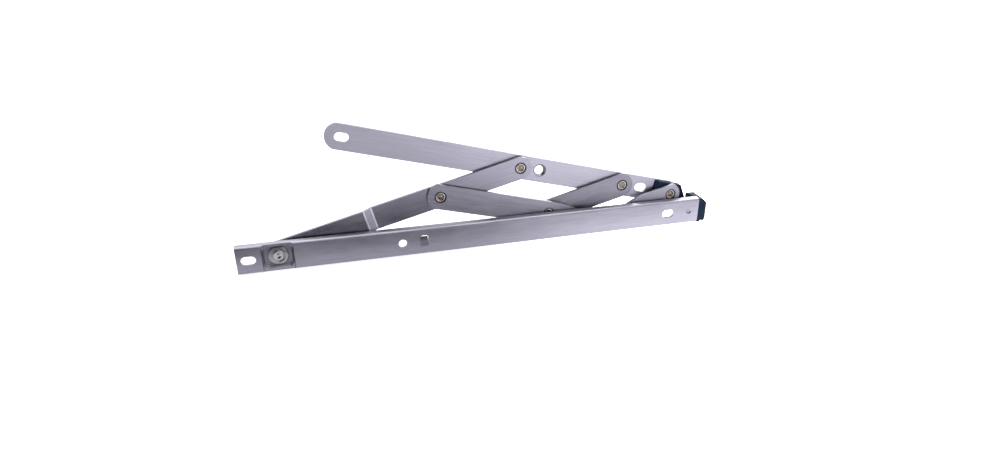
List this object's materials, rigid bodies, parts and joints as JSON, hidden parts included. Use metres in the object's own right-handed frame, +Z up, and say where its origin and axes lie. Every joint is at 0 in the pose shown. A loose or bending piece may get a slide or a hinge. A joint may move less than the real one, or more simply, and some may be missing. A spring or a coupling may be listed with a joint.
{
  "type": "window friction stay",
  "caption": "Stainless window friction stay with a slotted track, riveted folding arms, a slider shoe and a plastic end cap, shown part open",
  "frame": {"origin": "centre of the round fixing hole, in the outer face of the track", "axes": "X along the track from its free end to the end cap, Y into the stay away from the fixing face, Z up across the track; the stay stands on the long edge of its track"},
  "size_m": [0.3079, 0.0136, 0.0831],
  "materials": {
    "track_steel": "satin rolled stainless, streaked along the track",
    "arm_steel": "satin rolled stainless, streaked along each arm",
    "rivet_steel": "formed rivet heads, brighter than the plates",
    "washer_steel": "plain satin washers",
    "cap_plastic": "dark navy moulded plastic, slight sheen",
    "shoe_plastic": "dark blue moulded plastic, slight sheen"
  },
  "bodies": {
    "track_body": {"track": "track_steel", "end_cap": "cap_plastic", "track_rivet": "rivet_steel", "pivot_washer": "washer_steel", "pivot_bush": "washer_steel"},
    "long_arm_body": {"long_arm": "arm_steel", "brace_rivet": "rivet_steel", "brace_washer": "washer_steel", "sash_rivet": "rivet_steel", "sash_washer": "washer_steel"},
    "brace_body": {"brace_arm": "arm_steel", "tie_rivet": "rivet_steel", "tie_washer": "washer_steel"},
    "shoe_body": {"slider_shoe": "shoe_plastic", "shoe_rivet": "rivet_steel"},
    "tie_body": {"tie_link": "arm_steel"},
    "sash_body": {"sash_arm": "arm_steel", "nose_cap": "cap_plastic", "link_rivet": "rivet_steel", "link_washer": "washer_steel", "nose_rivet": "rivet_steel"},
    "toe_body": {"toe_link": "arm_steel", "toe_rivet": "rivet_steel"}
  },
  "joints": [
    {"name": "arm_hinge", "type": "hinge", "parent": "track_body", "child": "long_arm_body", "pos_m": [-0.07309, 0.0073, 0], "axis": [0, -1, 0], "range_deg": [-14.35, 46.65]},
    {"name": "brace_hinge", "type": "hinge", "parent": "long_arm_body", "child": "brace_body", "pos_m": [0.02563, 0.0085, 0.02526], "axis": [0, -1, 0], "range_deg": [-93.3, 28.7]},
    {"name": "shoe_hinge", "type": "hinge", "parent": "brace_body", "child": "shoe_body", "pos_m": [0.12435, 0.0063, 0], "axis": [0, -1, 0], "range_deg": [-14.35, 46.65]},
    {"name": "tie_hinge", "type": "hinge", "parent": "brace_body", "child": "tie_body", "pos_m": [0.09645, 0.0085, 0.00714], "axis": [0, -1, 0], "range_deg": [-28.7, 93.3]},
    {"name": "sash_hinge", "type": "hinge", "parent": "long_arm_body", "child": "sash_body", "pos_m": [0.0777, 0.0109, 0.03858], "axis": [0, -1, 0], "range_deg": [-93.3, 28.7]},
    {"name": "toe_hinge", "type": "hinge", "parent": "sash_body", "child": "toe_body", "pos_m": [0.18422, 0.0097, 0.01133], "axis": [0, -1, 0], "range_deg": [-28.7, 93.3]}
  ],
  "couplings": [
    {"joint": "brace_hinge", "follows": "arm_hinge", "ratio": -2},
    {"joint": "shoe_hinge", "follows": "arm_hinge", "ratio": 1},
    {"joint": "tie_hinge", "follows": "arm_hinge", "ratio": 2},
    {"joint": "sash_hinge", "follows": "arm_hinge", "ratio": -2},
    {"joint": "toe_hinge", "follows": "arm_hinge", "ratio": 2}
  ]
}
